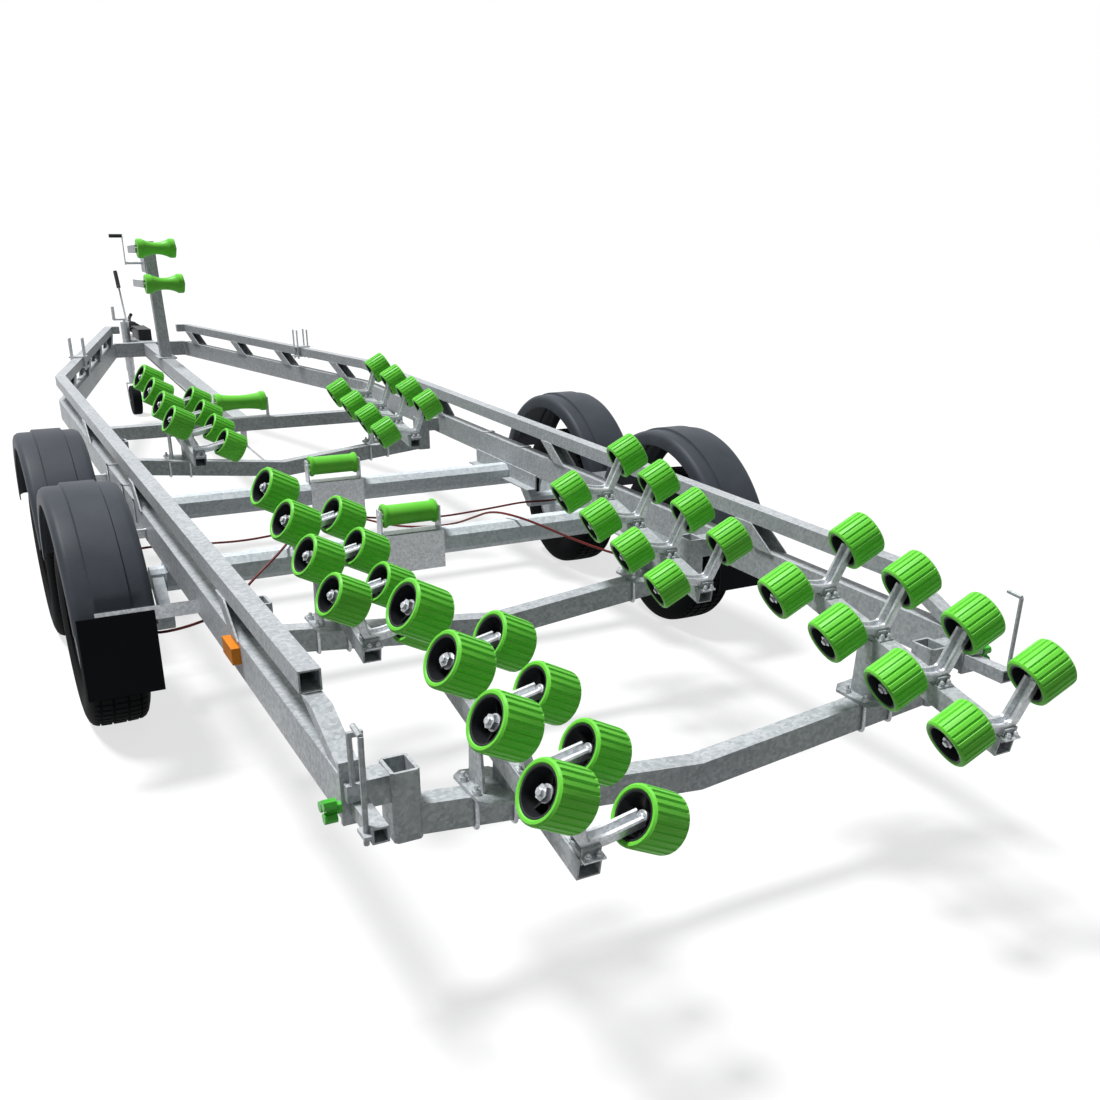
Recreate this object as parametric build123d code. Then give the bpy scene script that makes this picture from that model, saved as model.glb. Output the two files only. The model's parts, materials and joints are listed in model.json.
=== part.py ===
from build123d import *
from math import atan2, cos, degrees, hypot, pi, radians, sin, tan
import os

os.makedirs("parts", exist_ok=True)

# Twin axle boat trailer. Millimetres, +Y towards the towing vehicle, +X to the right, +Z up.
# Every place along the trailer is measured from the rear end of the lower rails.
# The finished parts are then moved so that the middle of the trailer lies over the origin.

# Side frames
half_width = 864
rail_width = 50
rail_height = 100
rail_top = 565
rail_wall = 4
upper_width = 50
upper_height = 50
upper_top = 691
upper_rear = 254
kink_y = 4984
nose_y = 7486
nose_half_width = 290
nose_stub = 90
post_size = 60
post_thickness = 5
post_lean = 125

# Cross members
beam_height = 70
beam_depth = 60
beam_mid_top = 382
beam_rise = 0.107
bracket_width = 91
bracket_gap = 31
bracket_height = 160
bracket_depth = 84
bracket_wall = 8
cross_member_y = 4600
cross_member_height = 66
cross_member_depth = 70
nose_member_depth = 60

# Axles and wheels
tyre_radius = 310
tyre_width = 190
wheel_offset = 225
axle_tube = 92
axle_corner = 22
front_wheel_y = 2788
rear_wheel_y = 1850
arm_run = 120
rim_radius = 178
drum_radius = 118

# Mudguards
guard_radius = 500
guard_centre_z = 285
guard_width = 225
guard_thickness = 5
guard_end_angle = 21
guard_band = 96
guard_step = 8
guard_wall = 62
guard_facets = 18

# Roller sets
roller_radius = 62
roller_width = 96
roller_bore = 44
roller_ribs = 24
hub_flats = 12
bunk_tube = 50
bunk_wall = 4

# Winch post
post_tube = 70
post_base_y = 6833
post_top_z = 1290
post_slant = 0.225
bow_roller_width = 240
winch_z = 1150
winch_ahead = 110
drum_radius_outer = 52
drum_half = 28
crank_reach = 146
crank_length = 190
crank_handle = 80

rail_bottom = rail_top - rail_height
axle_tube_z = rail_bottom - axle_tube / 2
inner_x = half_width - rail_width
wheel_x = half_width + wheel_offset
nose_angle = atan2(half_width - nose_half_width, nose_y - kink_y)


def box(x0, x1, y0, y1, z0, z1):
    """A box between two corners."""
    centre = Pos((x0 + x1) / 2, (y0 + y1) / 2, (z0 + z1) / 2)
    return centre * Box(abs(x1 - x0), abs(y1 - y0), abs(z1 - z0))


def rod(start, end, radius):
    """A round bar from one point to another."""
    start, end = Vector(*start), Vector(*end)
    plane = Plane(origin=start, z_dir=end - start)
    return extrude(plane * Circle(radius), (end - start).length)


def flat_rod(start, end, radius, sides=6):
    """A bar with a few flats from one point to another."""
    start, end = Vector(*start), Vector(*end)
    plane = Plane(origin=start, z_dir=end - start)
    return extrude(plane * RegularPolygon(radius, sides), (end - start).length)


def facet_rings(stations, sides):
    """A solid about the X axis through flat-sided rings, from (along, radius) stations."""
    turns = [2 * pi * i / sides for i in range(sides)]
    rings = [[Vector(a, r * cos(t), r * sin(t)) for t in turns] for a, r in stations]
    skin = [Face(Wire.make_polygon(rings[0])), Face(Wire.make_polygon(rings[-1]))]
    for here, there in zip(rings, rings[1:]):
        for i in range(sides):
            j = (i + 1) % sides
            skin.append(Face(Wire.make_polygon([here[i], here[j], there[j], there[i]])))
    return Solid(Shell(skin))


def facet_drum(start, end, radius, sides):
    """A straight flat-sided drum along the X axis."""
    return flat_rod((start, 0, 0), (end, 0, 0), radius, sides)


def bar(start, end, width, height, side=(1, 0, 0)):
    """A square bar from one point to another, its width along side."""
    start, end = Vector(*start), Vector(*end)
    plane = Plane(origin=start, x_dir=Vector(*side), z_dir=end - start)
    return extrude(plane * Rectangle(width, height), (end - start).length)


def tube(start, end, width, height, wall, side=(1, 0, 0)):
    """An open square tube from one point to another."""
    start, end = Vector(*start), Vector(*end)
    plane = Plane(origin=start, x_dir=Vector(*side), z_dir=end - start)
    section = Rectangle(width, height) - Rectangle(width - 2 * wall, height - 2 * wall)
    return extrude(plane * section, (end - start).length)


def mirrored(shape):
    """The same piece on the left side."""
    return mirror(shape, Plane.YZ)


def cable(points, radius):
    """A round cable through points, with arcs as large as the runs between them allow."""
    points = [Vector(*p) for p in points]
    bends = []
    for before, here, after in zip(points, points[1:], points[2:]):
        turn = radians((here - before).get_angle(after - here))
        bends.append(0.45 * min((here - before).length, (after - here).length) / tan(turn / 2))
    path = FilletPolyline(*points, radius=bends)
    return sweep(Plane(origin=path @ 0, z_dir=path % 0) * RegularPolygon(radius, 6), path=path)


# Rails: the outline in plan turns inwards at the kink
def rail_outline(width, rear, stub):
    shift = width * tan(nose_angle / 2)
    inner_end = nose_half_width - width / cos(nose_angle)
    outer = [(half_width, rear), (half_width, kink_y), (nose_half_width, nose_y)]
    inner = [(half_width - width, kink_y - shift), (half_width - width, rear)]
    if stub:
        corner = (inner_end + width * tan(nose_angle), nose_y - width)
        outer += [(nose_half_width - stub, nose_y), (nose_half_width - stub, nose_y - width)]
        return outer + [corner] + inner
    return outer + [(inner_end, nose_y)] + inner


def plan_bar(points, bottom, height):
    return Pos(0, 0, bottom) * extrude(make_face(Polyline(*points, close=True)), height)


def hollow_rail(width, rear, bottom, height, wall, stub):
    whole = plan_bar(rail_outline(width, rear, stub), bottom, height)
    cut_length = kink_y - rear - 150
    core = box(half_width - width + wall, half_width - wall, rear - 1, rear + cut_length,
               bottom + wall, bottom + height - wall)
    return whole - core


lower_rail = hollow_rail(rail_width, 0, rail_bottom, rail_height, rail_wall, 0)
upper_rail = hollow_rail(upper_width, upper_rear, upper_top - upper_height, upper_height, rail_wall, nose_stub)

# Leaning channel posts between the rails
rear_post_places = [880, 2350, 3700]
front_post_places = [5200, 5900, 6530, 7250]
post_gap = upper_top - upper_height - rail_top


def channel_post(x, y, turn):
    """A channel leaning forwards, its open side towards the rear."""
    section = Rectangle(post_size, post_size * 0.8)
    section -= Pos(0, -post_thickness) * Rectangle(post_size - 2 * post_thickness, post_size * 0.8)
    lean = degrees(atan2(post_lean, post_gap))
    block = Pos(0, 0, -80) * extrude(section, 400)
    block = Rot(-lean, 0, 0) * block
    slab = box(-100, 100, -400, 600, 0, post_gap)
    return Pos(x, y, rail_top) * Rot(0, 0, degrees(turn)) * (block & slab)


right_posts = []
for y in rear_post_places:
    right_posts.append(channel_post(half_width - rail_width / 2, y, 0))
for y in front_post_places:
    x = half_width - (y - kink_y) * tan(nose_angle) - rail_width / 2
    right_posts.append(channel_post(x, y, nose_angle))
end_post = bar((half_width - 25, upper_rear + 20, upper_top - upper_height / 2),
               (half_width - 25, -15, rail_top - 20), 44, 30)
end_post &= box(0, 2000, 0, 600, rail_top, upper_top - upper_height)
right_posts.append(end_post)

# Rear end plates, the sockets of the lighting board and its hooks
socket_side, socket_wall = 34, 4
socket_reach = 149
end_plate = box(inner_x + 0.3, half_width + 2, -12, 0, rail_bottom - 8, rail_top + 30)
socket_x, socket_z = inner_x + socket_side / 2 + 2, rail_bottom + 32
socket = tube((socket_x, -11, socket_z), (socket_x, -socket_reach, socket_z), socket_side, socket_side, socket_wall)
rear_fitting = end_plate + socket
hook_x, hook_y = half_width - 8, -socket_reach + 20
hook_radius, hook_top = 6, rail_top + 140
lug = box(socket_x + socket_side / 2 - 2, hook_x + 10, hook_y - 22, hook_y + 22, socket_z - 4, socket_z + 4)
rear_fitting += lug
hook_points = [(hook_x, hook_y, socket_z - 24), (hook_x, hook_y - 12, hook_top), (hook_x, hook_y + 34, hook_top + 4)]
for start, end in zip(hook_points, hook_points[1:]):
    rear_fitting += flat_rod(start, end, hook_radius)
rear_fitting += box(inner_x + 8, half_width - 4, -36, -11, rail_top - 48, rail_top - 12)
rear_fitting += flat_rod((half_width - 18, -30, rail_top - 40), (half_width - 18, -30, rail_top + 96), 6)
rear_fitting += flat_rod((half_width - 40, -30, rail_top - 40), (half_width - 40, -30, rail_top + 96), 6)
rear_fitting += box(half_width - 45, half_width - 13, -35, -25, rail_top + 90, rail_top + 101)

# Front cross member and centre beam
nose_inner = nose_half_width - rail_width / cos(nose_angle)
nose_member = box(-nose_inner - 20, nose_inner + 20, nose_y, nose_y + nose_member_depth, rail_bottom, rail_top)
beam_front = (0, nose_y, rail_top - 45)
beam_rear = (0, cross_member_y + cross_member_depth / 2, rail_bottom - 40)
centre_beam = bar(beam_front, beam_rear, 80, 80)
trim = box(-100, 100, cross_member_y + cross_member_depth / 2, nose_y, 0, 1000)
centre_beam = centre_beam & trim
cross_member = box(-half_width, half_width, cross_member_y - cross_member_depth / 2,
                   cross_member_y + cross_member_depth / 2, rail_bottom - cross_member_height, rail_bottom)
drawbar = box(-50, 50, nose_y + nose_member_depth, nose_y + 640, rail_bottom, rail_top)


# V shaped cross beams with their drop brackets
def v_beam(rear_y):
    """A box beam, lowest in the middle, held in a drop bracket near each rail."""
    outer_x = inner_x - bracket_gap
    reach = outer_x - bracket_wall
    low, high = beam_mid_top, beam_mid_top + beam_rise * reach
    outline = [(0, low), (reach, high), (reach, high - beam_height), (0, low - beam_height)]
    outline += [(-reach, high - beam_height), (-reach, high)]
    face = make_face(Plane.XZ * Polyline(*outline, close=True))
    beam = Pos(0, rear_y, 0) * extrude(face, beam_depth, dir=(0, 1, 0))
    middle = rear_y + beam_depth / 2
    bottom = high - beam_height - 10
    outer = box(outer_x - bracket_width, outer_x, middle - bracket_depth / 2,
                middle + bracket_depth / 2, bottom, bottom + bracket_height)
    outer = chamfer(outer.edges().filter_by(Axis.Z), bracket_wall * 0.9)
    inner = box(outer_x - bracket_width + bracket_wall, outer_x - bracket_wall,
                middle - bracket_depth / 2 + bracket_wall, middle + bracket_depth / 2 - bracket_wall,
                bottom + bracket_wall, bottom + bracket_height + 10)
    pad = box(outer_x - 2, inner_x, middle - 30, middle + 30, rail_bottom + 12, bottom + bracket_height - 6)
    bracket = outer - inner + pad
    return beam + bracket + mirrored(bracket)


v_beam_places = {"rear": 0, "middle": 1166, "front": 3753}
v_beams = {name: v_beam(y) for name, y in v_beam_places.items()}

# Axles: a chamfered tube, trailing arms, stubs and backplates
axle_ahead = arm_run
stub_radius = 20
running_gap = 0.05
backplate_x = wheel_x - 91


def axle(wheel_y):
    y = wheel_y + axle_ahead
    section = Rectangle(axle_tube, axle_tube)
    section = chamfer(section.vertices(), axle_corner)
    tube_body = Pos(-half_width, y, axle_tube_z) * extrude(Plane.YZ * section, 2 * half_width)
    arm_x = half_width + 26
    arm = bar((arm_x, y, axle_tube_z), (arm_x, wheel_y, tyre_radius), 36, 62)
    arm += flat_rod((half_width - 2, y, axle_tube_z), (arm_x + 20, y, axle_tube_z), 38, 12)
    arm += flat_rod((arm_x - 20, wheel_y, tyre_radius), (backplate_x - 4, wheel_y, tyre_radius), 34, 12)
    arm += flat_rod((backplate_x - 8, wheel_y, tyre_radius), (backplate_x, wheel_y, tyre_radius), drum_radius, 24)
    arm += rod((arm_x, wheel_y, tyre_radius), (wheel_x + 18, wheel_y, tyre_radius), stub_radius - running_gap)
    return tube_body + arm + mirrored(arm)


axles = {"front": axle(front_wheel_y), "rear": axle(rear_wheel_y)}

# Wheels: flat-sided rings for the tyre and rim, a dished disc with holes, and the brake drum
wheel_facets = 36
tyre_half = tyre_width / 2
tyre_rings = [(-tyre_half, rim_radius + 12), (-tyre_half + 0.5, tyre_radius - 72), (-tyre_half + 9, tyre_radius - 22),
              (-tyre_half + 29, tyre_radius), (tyre_half - 29, tyre_radius), (tyre_half - 9, tyre_radius - 22),
              (tyre_half - 0.5, tyre_radius - 72), (tyre_half, rim_radius + 12)]
rim_half = tyre_half - 18
disc_rings = [(-1, rim_radius - 8), (22, rim_radius - 24), (34, 120), (44, 96), (44.5, 84), (36, 60)]
disc_thick = 7


def wheel(y, side):
    x = side * wheel_x
    turned = [(side * a, r) for a, r in tyre_rings]
    tyre = facet_rings(turned, wheel_facets) - facet_drum(-150, 150, rim_radius, wheel_facets)
    barrel = facet_drum(-rim_half, rim_half, rim_radius - 0.1, wheel_facets)
    barrel -= facet_drum(-rim_half - 1, rim_half + 1, rim_radius - 10, wheel_facets)
    front = facet_rings([(side * a, r) for a, r in disc_rings], 24)
    back = facet_rings([(side * (a - disc_thick), r) for a, r in disc_rings], 24)
    disc = front - back
    for i in range(5):
        disc -= Rot(72 * i, 0, 0) * box(0, side * 60, -22, 22, 98, 124)
    drum = facet_drum(side * -86, side * -26, drum_radius - 8, 24) + facet_drum(side * -27, side * 35, 80, 24)
    cap = facet_drum(side * 28, side * 62, 34, 12)
    rim = barrel + disc + drum + cap
    rim -= rod((side * -100, 0, 0), (side * 20, 0, 0), stub_radius)
    place = Pos(x, y, tyre_radius)
    return place * tyre, place * rim


wheel_names = [("front_left", front_wheel_y, -1), ("front_right", front_wheel_y, 1),
               ("rear_left", rear_wheel_y, -1), ("rear_right", rear_wheel_y, 1)]
wheels = {name: wheel(y, side) for name, y, side in wheel_names}


# Mudguards: a raised middle band, two lower bands and side walls, hung from the rail by straps
guard_start = radians(guard_end_angle)
guard_step_angle = (pi - 2 * guard_start) / guard_facets
guard_inner_x = wheel_x - guard_width / 2


def arc_band(outer, inner, x0, x1, y, margin=0):
    """A curved band of short flats over a wheel, shorter by a few flats at each end."""
    angles = [guard_start + guard_step_angle * i for i in range(margin, guard_facets + 1 - margin)]
    line = [(outer * cos(a), outer * sin(a)) for a in angles]
    line += [(inner * cos(a), inner * sin(a)) for a in reversed(angles)]
    band = extrude(make_face(Plane.YZ * Polyline(*line, close=True)), x1 - x0, dir=(1, 0, 0))
    return Pos(x0, y, guard_centre_z) * band


def mudguard(y):
    """A skin with side walls and a raised middle band that ends before the straps."""
    low, thick = guard_radius - guard_step, guard_thickness
    band_x0, band_x1 = wheel_x - guard_band / 2, wheel_x + guard_band / 2
    skin = arc_band(low, low - thick, guard_inner_x, guard_inner_x + guard_width, y)
    skin += arc_band(guard_radius, low - 0.5, band_x0, band_x1, y, 2)
    skin -= arc_band(guard_radius - thick, low - thick - 1, band_x0 + thick, band_x1 - thick, y, 3)
    for x in (guard_inner_x, guard_inner_x + guard_width - thick):
        skin += arc_band(low - 0.5, low - guard_wall, x, x + thick, y)
    return skin


right_guards = [mudguard(front_wheel_y + 20), mudguard(rear_wheel_y - 20)]


strap_angle = guard_start + guard_step_angle / 2
strap_half, strap_thick = 20, 5
strap_base = (guard_radius - guard_step) * cos(guard_step_angle / 2) + 0.2


def guard_strap(y, direction):
    """A flat strap from the rail to the end of a mudguard, lying along its skin."""
    plate = box(half_width, guard_inner_x + 165, strap_base, strap_base + strap_thick, -strap_half, strap_half)
    turn = degrees(strap_angle) if direction > 0 else 180 - degrees(strap_angle)
    return Pos(0, y, guard_centre_z) * Rot(turn, 0, 0) * plate


right_straps = []
for y in (front_wheel_y + 20, rear_wheel_y - 20):
    for direction in (-1, 1):
        right_straps.append(guard_strap(y, direction))
strap_back = (strap_base + strap_thick) * cos(strap_angle) + strap_half * sin(strap_angle)
guard_back = (guard_radius - guard_step) * cos(guard_start)
flap_y = rear_wheel_y - 20 - max(strap_back, guard_back) - 0.2
flap = box(guard_inner_x + 8, guard_inner_x + guard_width - 8, flap_y - 4, flap_y, 258, 505)

# Roller sets: four tilted pairs on one tube, which leans down towards the rear
# name, tube x, reach behind the beam, rear end z, tilt in degrees, spacing of the pairs
roller_sets = [
    ("rear", 534, 425, 488, 12.2, 221),
    ("middle", 533, 367, 482, 13.2, 216),
    ("front", 487, 548, 537, 7.4, 228),
]
outer_out, outer_up = 70, 168
inner_in, inner_up = 135, 52
pair_count = 4
pair_start = 24
hub_half = 18
pin_radius = 8
arm_lift = 20
pair_lean = degrees(atan2(outer_up - inner_up, outer_out + inner_in))
lean_out = Vector(cos(radians(pair_lean)), 0, sin(radians(pair_lean)))


def roller():
    """A ring of flat ribs."""
    half = roller_width / 2
    ring = facet_drum(-half, half, roller_radius, roller_ribs)
    return ring - facet_drum(-half - 1, half + 1, roller_bore, hub_flats)


def roller_hub():
    hub = facet_drum(-hub_half, hub_half, roller_bore - 0.1, hub_flats)
    return hub - facet_drum(-hub_half - 1, hub_half + 1, pin_radius + 0.3, 6)


arm_width, arm_thick, arm_groove = 38, 16, 7


def pair_arm():
    """A pressed arm, bent over the tube, with a groove along it and a roller pin at each end."""
    outer = Vector(outer_out, 0, outer_up) - lean_out * (hub_half + 8)
    inner = Vector(-inner_in, 0, inner_up) + lean_out * (hub_half + 8)
    saddle = bunk_tube / 2 + arm_lift
    line = [(inner.X, inner.Z), (-26, saddle), (10, saddle), (outer.X, outer.Z)]

    def offset_line(distance):
        """The arm's side line, moved to one side."""
        moved = []
        for i, point in enumerate(line):
            before, after = line[max(i - 1, 0)], line[min(i + 1, len(line) - 1)]
            run = Vector(after[0] - before[0], after[1] - before[1], 0).normalized()
            moved.append((point[0] - run.Y * distance, point[1] + run.X * distance))
        return moved

    def layer(low, high, width):
        outline = offset_line(low) + offset_line(high)[::-1]
        face = make_face(Plane.XZ * Polyline(*outline, close=True))
        return Pos(0, -width / 2, 0) * extrude(face, width, dir=(0, 1, 0))

    arm = layer(-arm_thick / 2, arm_thick / 2, arm_width) - layer(arm_thick / 2 - 5, arm_thick / 2 + 1, arm_groove)
    for end, sign in ((outer, 1), (inner, -1)):
        pin_end = end + lean_out * sign * (2 * hub_half + 14)
        arm += flat_rod(tuple(end - lean_out * sign * 4), tuple(pin_end), pin_radius)
    return arm


def arm_seat():
    """The block and ears under an arm, on top of the tube."""
    top = bunk_tube / 2 + arm_lift - arm_thick / 2
    seat = box(-22, 22, -arm_width / 2, arm_width / 2, bunk_tube / 2 - 1, top - 0.3)
    for side in (-1, 1):
        ear_y = side * (arm_width / 2 + 3)
        seat += box(-20, 20, ear_y - 3, ear_y + 3, bunk_tube / 2 - 14, top + 10)
    return seat


def bunk_bracket(name, beam_y, x, tube_z):
    """Two side plates that stand on the cross beam and hold the tube between them."""
    beam_top = beam_mid_top + beam_rise * x
    near, far = beam_y, beam_y + beam_depth
    rise = tube_z - beam_top + 12
    outline = [(near - 44, -20), (near - 1, -20), (near - 1, -6), (far + 1, -6), (far + 1, -20), (far + 44, -20),
               (far + 44, 4), (far + 24, rise), (near - 24, rise), (near - 44, 14)]
    plate = Polyline(*[(y, beam_top + z) for y, z in outline], close=True)
    holder = box(x - 62, x + 62, near - 20, far + 20, beam_top - 8, beam_top + 9)
    for side in (-1, 1):
        plate_x = x + side * (bunk_tube / 2 + 3)
        holder += Pos(plate_x - 3, 0, 0) * extrude(make_face(Plane.YZ * plate), 6, dir=(1, 0, 0))
    return holder - v_beams[name]


bunks, rollers, hubs, arms = {}, {}, [], []
one_seat, one_arm, one_roller, one_hub = arm_seat(), pair_arm(), roller(), roller_hub()
for name, x, reach_back, z, tilt, step in roller_sets:
    beam_y = v_beam_places[name]
    y = beam_y - reach_back
    place = Pos(x, y, z) * Rot(tilt, 0, 0)
    length = pair_start + (pair_count - 1) * step + 40
    body = place * tube((0, 0, 0), (0, length, 0), bunk_tube, bunk_tube, bunk_wall)
    turned = []
    for i in range(pair_count):
        station = place * Pos(0, pair_start + i * step, 0)
        body += station * one_seat
        arms.append(station * one_arm)
        for px, pz in ((outer_out, outer_up), (-inner_in, inner_up)):
            seat = station * Pos(px, 0, pz) * Rot(0, -pair_lean, 0)
            turned.append(seat * one_roller)
            hubs.append(seat * one_hub)
    tube_z = z + (beam_y + beam_depth / 2 - y) * tan(radians(tilt))
    body += bunk_bracket(name, beam_y, x, tube_z)
    bunks[name] = body
    rollers[name] = turned

# Keel rollers: two on the axles and one on the straight cross member
# name, middle y, middle z, length, radius, length of each end collar, waist
keel_roller_table = [
    ("front", cross_member_y, 552, 266, 52, 56, 30),
    ("middle", front_wheel_y + axle_ahead, 536, 206, 44, 12, 33),
    ("rear", rear_wheel_y + axle_ahead, 536, 206, 44, 12, 33),
]
keel_plate_drop = 43


def waisted_roller(length, radius, waist, shoulder):
    """A concave roller with a round collar at each end."""
    half = length / 2
    rings = [(-half, radius - 5), (-half + 6, radius), (-half + shoulder, radius), (-half + shoulder + 14, waist + 6)]
    rings += [(0, waist)] + [(-a, r) for a, r in reversed(rings)]
    return facet_rings(rings, 20) - rod((-half - 1, 0, 0), (half + 1, 0, 0), 9)


keel_rollers, keel_brackets = {}, []
for name, y, z, length, radius, collar, waist in keel_roller_table:
    keel_rollers[name] = Pos(0, y, z) * waisted_roller(length, radius, waist, collar)
    seat_z = rail_bottom if name == "front" else axle_tube_z + axle_tube / 2
    holder = box(-length / 2 - 12, length / 2 + 12, y - 30, y + 30, seat_z, seat_z + 6)
    for side in (-1, 1):
        ear_x = side * (length / 2 + 9)
        holder += box(ear_x - 3, ear_x + 3, y - 24, y + 24, seat_z, z + 22)
    holder += rod((-length / 2 - 14, y, z), (length / 2 + 14, y, z), 9 - running_gap)
    if name != "front":
        rear_face = y - axle_tube / 2
        low = axle_tube_z - axle_tube / 2 - keel_plate_drop
        holder += box(-length / 2 - 12, length / 2 + 12, rear_face - 6, rear_face - 0.2, low, seat_z + 6)
    keel_brackets.append(holder)


# Winch post with its bow rollers, leaning forwards
def post_y(z):
    return post_base_y + (z - rail_top) * post_slant


beam_top_at_post = rail_top - 5 - (nose_y - post_base_y) * 0.042
winch_post = bar((0, post_y(beam_top_at_post - 10), beam_top_at_post - 10), (0, post_y(post_top_z), post_top_z),
                 post_tube, post_tube)
winch_post += box(-60, 60, post_base_y - 90, post_base_y + 90, beam_top_at_post - 2, beam_top_at_post + 8)
bow_roller_table = [("upper", 6690, 1262), ("lower", 6530, 1046)]
bow_rollers = {}
for name, y, z in bow_roller_table:
    bow_rollers[name] = Pos(0, y, z) * waisted_roller(bow_roller_width, 62, 40, 30)
    for side in (-1, 1):
        plate_x = side * (bow_roller_width / 2 + 8)
        arm = bar((plate_x, y, z), (plate_x, post_y(z - 20) + 30, z - 20), 6, 46)
        winch_post += arm
    winch_post += rod((-bow_roller_width / 2 - 12, y, z), (bow_roller_width / 2 + 12, y, z), 9 - running_gap)
    cross_y = post_y(z - 20) - post_tube / 2 + 16
    winch_post += box(-bow_roller_width / 2 - 11, bow_roller_width / 2 + 11, cross_y - 5, cross_y + 5, z - 40, z)

winch_post -= centre_beam

# Winch: cheeks on the post, a drum with its crank
winch_y = post_y(winch_z) + winch_ahead
for side in (-1, 1):
    cheek_x = side * (post_tube / 2 + 2.5)
    winch_post += box(cheek_x - 2.5, cheek_x + 2.5, winch_y - winch_ahead, winch_y + 60, winch_z - 60, winch_z + 60)
winch_post -= rod((-60, winch_y + 5, winch_z), (60, winch_y + 5, winch_z), 9)
drum_y = winch_y + 5
drum = facet_drum(-drum_half, drum_half, 24, 16)
for side in (-1, 1):
    drum += facet_drum(side * (drum_half - 4), side * drum_half, drum_radius_outer, 20)
winch_drum = Pos(0, drum_y, winch_z) * drum
winch_drum += rod((-crank_reach, drum_y, winch_z), (48, drum_y, winch_z), 9 - running_gap)
winch_drum += box(-crank_reach - 5, -crank_reach + 1, drum_y - 10, drum_y + 10, winch_z - 12, winch_z + crank_length)
grip_start = (-crank_reach - 4, drum_y, winch_z + crank_length - 12)
grip_end = (-crank_reach - 4 - crank_handle, drum_y, winch_z + crank_length - 12)
winch_drum += flat_rod(grip_start, grip_end, 12, 10)

# Overrun coupling on the drawbar
coupling_z = rail_top + 45
coupling_length = 750
housing_length = 320
coupling_rear = nose_y + 150
coupling_front = coupling_rear + coupling_length
housing_front = coupling_rear + housing_length
neck_start, neck_end = coupling_front - 160, coupling_front - 60
shaft_radius = 25
coupling_body = box(-45, 45, coupling_rear, housing_front, rail_top, coupling_z + 35)
coupling_body += rod((0, coupling_rear + 200, coupling_z), (0, neck_end, coupling_z), shaft_radius)
coupling_head = box(-32, 32, neck_start, neck_end, coupling_z - 28, coupling_z + 30)
shell_rings = [(-36, 35), (-20, 44), (8, 44), (26, 34), (34, 16)]
shell = Pos(0, coupling_front, coupling_z - 10) * Rot(0, -90, 0) * facet_rings(shell_rings, 20)
coupling_head += shell
coupling_head += box(-24, 24, neck_end - 10, coupling_front, coupling_z - 10, coupling_z + 30)
coupling_head -= Pos(0, coupling_front, coupling_z - 22) * Sphere(25.4)
coupling_head -= Pos(0, coupling_front, coupling_z - 72) * Cylinder(25.4, 100)
coupling_head -= box(-60, 60, coupling_front - 60, coupling_front + 60, coupling_z - 60, coupling_z - 45)
coupling_head -= rod((0, coupling_rear, coupling_z), (0, neck_end, coupling_z), shaft_radius + 0.2)
grip_line = [(0, coupling_front - 14, coupling_z + 26), (0, coupling_front - 60, coupling_z + 62),
             (0, coupling_front - 160, coupling_z + 92)]
for start, end in zip(grip_line, grip_line[1:]):
    coupling_head += flat_rod(start, end, 13, 10)

# Gaiter: a bellows between the housing and the coupling head
fold_count, fold_high, fold_low = 7, 42, 34
gaiter_start, gaiter_end = housing_front + 0.3, neck_start - 2
fold = (gaiter_end - gaiter_start) / (2 * fold_count)
gaiter_rings = [(gaiter_start + i * fold, fold_low if i % 2 else fold_high) for i in range(2 * fold_count + 1)]
gaiter = Rot(0, 0, 90) * facet_rings(gaiter_rings, 16)
gaiter = Pos(0, 0, coupling_z) * gaiter
gaiter -= rod((0, coupling_rear, coupling_z), (0, coupling_front, coupling_z), shaft_radius + 0.4)

# Handbrake lever
lever_y, lever_z = coupling_rear + 290, coupling_z + 20
lever_x = -75
lever_run, lever_rise, lever_grip = 210, 300, 138
lever_top = Vector(lever_x, lever_y + lever_run, lever_z + lever_rise)
lever_way = (lever_top - Vector(lever_x, lever_y, lever_z)).normalized()
handbrake = flat_rod((lever_x - 8, lever_y, lever_z), (lever_x + 8, lever_y, lever_z), 20, 12)
handbrake += bar((lever_x, lever_y, lever_z), tuple(lever_top), 10, 30)
handbrake += flat_rod(tuple(lever_top - lever_way * 16), tuple(lever_top + lever_way * (lever_grip - 16)), 15, 10)
handbrake -= rod((lever_x - 20, lever_y, lever_z), (lever_x + 20, lever_y, lever_z), 8)
coupling_body += rod((-44, lever_y, lever_z), (lever_x - 12, lever_y, lever_z), 8 - running_gap)

# Jockey wheel: clamp and outer tube on the drawbar, inner tube, fork and wheel
jockey_x, jockey_y = -112, nose_y + 314
jockey_radius = 110
jockey_outer = rod((jockey_x, jockey_y, 330), (jockey_x, jockey_y, 690), 30)
jockey_outer -= rod((jockey_x, jockey_y, 320), (jockey_x, jockey_y, 670), 26)
jockey_outer -= rod((jockey_x, jockey_y, 660), (jockey_x, jockey_y, 700), 10)
jockey_outer += box(jockey_x + 27, -50, jockey_y - 30, jockey_y + 30, rail_bottom + 10, rail_top - 10)
king_pin = 12
jockey_inner = rod((jockey_x, jockey_y, 240.3), (jockey_x, jockey_y, 570), 25)
jockey_inner -= rod((jockey_x, jockey_y, 230), (jockey_x, jockey_y, 250), king_pin)
fork_z = jockey_radius
trail = 45
fork = box(jockey_x - 46, jockey_x + 46, jockey_y - 24, jockey_y + 24, 232, 240)
for side in (-1, 1):
    fork_x = jockey_x + side * 43.5
    fork += bar((fork_x, jockey_y, 236), (fork_x, jockey_y - trail, fork_z - 16), 5, 40)
fork += rod((jockey_x, jockey_y, 236), (jockey_x, jockey_y, 247), king_pin - running_gap)
fork += rod((jockey_x - 46, jockey_y - trail, fork_z), (jockey_x + 46, jockey_y - trail, fork_z), 8.5 - running_gap)
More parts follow.
